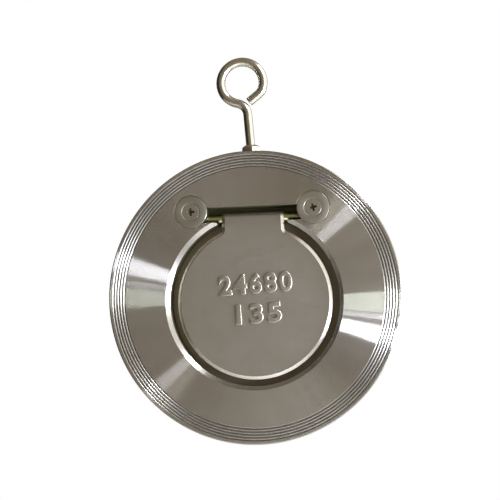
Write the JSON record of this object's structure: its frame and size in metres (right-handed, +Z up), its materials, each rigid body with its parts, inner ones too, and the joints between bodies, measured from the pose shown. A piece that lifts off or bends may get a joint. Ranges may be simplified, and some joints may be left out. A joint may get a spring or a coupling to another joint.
{
  "type": "wafer check valve",
  "caption": "Thin wafer check valve: a grooved steel ring with a swing disc on a capped hinge pin, a soft seat seal and a bent-wire lifting eye.",
  "frame": {"origin": "centre of the ring's outside circle, halfway through its thickness", "axes": "+X across the valve, +Y along the pipe against the flow (the outlet face looks along -Y), +Z up to the lifting eye"},
  "size_m": [0.162, 0.018, 0.2166],
  "materials": {
    "turned_ring": "face-turned stainless steel",
    "disc_casting": "satin-ground stainless casting",
    "pin_steel": "ground stainless rod",
    "cap_steel": "turned stainless steel",
    "screw_steel": "tumbled stainless steel",
    "seal_rubber": "moulded fluorocarbon rubber",
    "eye_wire": "drawn and tumbled stainless wire",
    "nut_steel": "cold-formed stainless steel"
  },
  "bodies": {
    "valve_body": {"body": "turned_ring", "retainer_cap_left": "cap_steel", "retainer_cap_right": "cap_steel", "cap_screw_left": "screw_steel", "cap_screw_right": "screw_steel", "seat_o_ring": "seal_rubber", "eye_bolt": "eye_wire", "eye_bolt_nut": "nut_steel"},
    "disc_assembly": {"disc": "disc_casting", "hinge_pin": "pin_steel"}
  },
  "joints": [
    {"name": "disc_swing", "type": "hinge", "parent": "valve_body", "child": "disc_assembly", "pos_m": [0, -0.0004, 0.0441], "axis": [-1, 0, 0], "range_deg": [0, 70]}
  ]
}
